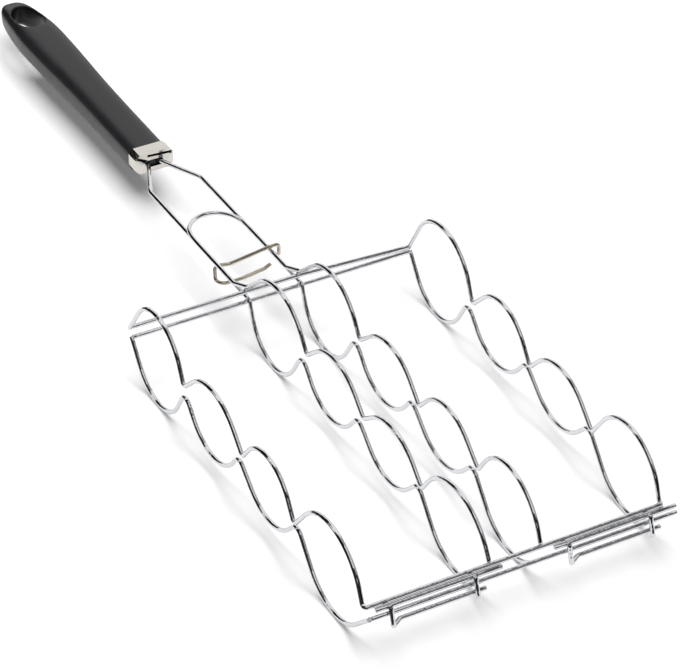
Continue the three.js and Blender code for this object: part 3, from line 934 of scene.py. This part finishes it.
def floor():
    """A white floor that takes soft shadows.

    Away from the basket the camera sees it plain white, and metal sees it end.
    """
    corners = [(-1, -1), (1, -1), (1, 1), (-1, 1)]
    corners = [(x * FLOOR_REACH, y * FLOOR_REACH, 0) for x, y in corners]
    piece = mesh_object("floor", corners, [(0, 1, 2, 3)])
    material = bpy.data.materials.new("white_sweep")
    material.use_nodes = True
    tree = material.node_tree
    shader = tree.nodes["Principled BSDF"]
    feed(tree, shader, {"Base Color": FLOOR_WHITE, "Roughness": 1.0, "Specular IOR Level": 0.0})
    away = add_node(tree, "ShaderNodeTexCoord").outputs["Object"]
    for operation, value in (("SUBTRACT", OVAL_MIDDLE), ("DIVIDE", OVAL_SPANS)):
        away = add_node(tree, "ShaderNodeVectorMath", {0: away, 1: value}, operation=operation)
        away = away.outputs["Vector"]
    away = add_node(tree, "ShaderNodeVectorMath", {0: away}, operation="LENGTH").outputs["Value"]
    path = add_node(tree, "ShaderNodeLightPath").outputs
    brightness = eased(tree, away, *BRIGHTENING_SHARES, FLOOR_GLOW, FAR_FLOOR_GLOW)
    seen = maths(tree, "MULTIPLY", path["Is Camera Ray"], brightness)
    hidden = maths(tree, "MULTIPLY", path["Is Glossy Ray"], eased(tree, away, *ENDING_SHARES))
    glow = add_node(tree, "ShaderNodeEmission", {"Strength": seen})
    dark = add_node(tree, "ShaderNodeEmission", {"Strength": FAR_FLOOR_MIRRORED})
    lit = add_node(tree, "ShaderNodeAddShader", {0: shader.outputs[0], 1: glow.outputs[0]})
    surface = add_node(tree, "ShaderNodeMixShader", {0: hidden, 1: lit.outputs[0], 2: dark.outputs[0]})
    feed(tree, tree.nodes["Material Output"], {"Surface": surface.outputs[0]})
    piece.data.materials.append(material)


def sky_patch_group():
    """How far a direction lies inside a soft-edged patch of azimuth and elevation, in degrees."""
    labels = (
        "Azimuth",
        "Elevation",
        "From azimuth",
        "To azimuth",
        "From elevation",
        "To elevation",
        "Lean",
        "Softness",
    )
    group = NodeGroup(
        "ShaderNodeTree",
        "sky_patch",
        [(label, "NodeSocketFloat", 0.0) for label in labels],
        [("Share", "NodeSocketFloat")],
    )
    tree, given = group.tree, group.given

    def past(value, edge):
        before = maths(tree, "SUBTRACT", edge, given["Softness"])
        after = maths(tree, "ADD", edge, given["Softness"])
        return eased(tree, value, before, after)

    height = maths(tree, "SUBTRACT", given["Elevation"], given["From elevation"])
    lean = maths(tree, "MULTIPLY", height, given["Lean"])
    azimuth = maths(tree, "SUBTRACT", given["Azimuth"], lean)
    inside = [
        maths(tree, "SUBTRACT", past(value, given[f"From {name}"]), past(value, given[f"To {name}"]))
        for name, value in (("azimuth", azimuth), ("elevation", given["Elevation"]))
    ]
    group.output("Share", maths(tree, "MULTIPLY", *inside))
    return group.tree


def studio():
    """A pale room for the light, in which metal sees a dark half with bright openings."""
    world = bpy.data.worlds.new("studio")
    bpy.context.scene.world = world
    world.use_nodes = True
    tree = world.node_tree
    way = add_node(tree, "ShaderNodeTexCoord").outputs["Generated"]
    way = add_node(tree, "ShaderNodeSeparateXYZ", {0: way}).outputs
    azimuth = maths(tree, "DEGREES", maths(tree, "ARCTAN2", way["Y"], way["X"]))
    elevation = maths(tree, "DEGREES", maths(tree, "ARCSINE", way["Z"]))
    group = sky_patch_group()
    sky = SKY_WHITE
    for grey, azimuths, elevations, lean, softness in SKY_PATCHES:
        patch = add_node(
            tree,
            "ShaderNodeGroup",
            {
                "Azimuth": azimuth,
                "Elevation": elevation,
                "From azimuth": azimuths[0],
                "To azimuth": azimuths[1],
                "From elevation": elevations[0],
                "To elevation": elevations[1],
                "Lean": lean,
                "Softness": softness,
            },
            node_tree=group,
        )
        layers = {0: patch.outputs["Share"], 2: sky, 3: grey}
        sky = add_node(tree, "ShaderNodeMix", layers, data_type="FLOAT").outputs[0]
    path = add_node(tree, "ShaderNodeLightPath").outputs
    shown = tree.nodes["Background"]
    feed(tree, shown, {"Color": WHITE, "Strength": SKY_FILL})
    for ray, strength in (("Is Glossy Ray", sky), ("Is Camera Ray", 1.0)):
        other = add_node(tree, "ShaderNodeBackground", {"Color": WHITE, "Strength": strength})
        sources = {0: path[ray], 1: shown.outputs[0], 2: other.outputs[0]}
        shown = add_node(tree, "ShaderNodeMixShader", sources)
    feed(tree, tree.nodes["World Output"], {"Surface": shown.outputs[0]})


WIRE_FINISHES = {"wire": CHROME, "clip": SPRING}

lines = {}
for entry in frame["record"]["subparts"]:
    node, slot = entry["node"], entry["material_slot"]
    if slot in WIRE_FINISHES:
        lines[node] = round_wire(node, WIRE_FINISHES[slot])
for body in ("base", "lid"):
    weld_beads(body, lines, CHROME)
moulded_grip(lines, BLACK)
drawn_ferrule(NICKEL)

place_camera()
floor()
studio()
soft_lamp()
bpy.context.scene.view_settings.view_transform = "Standard"
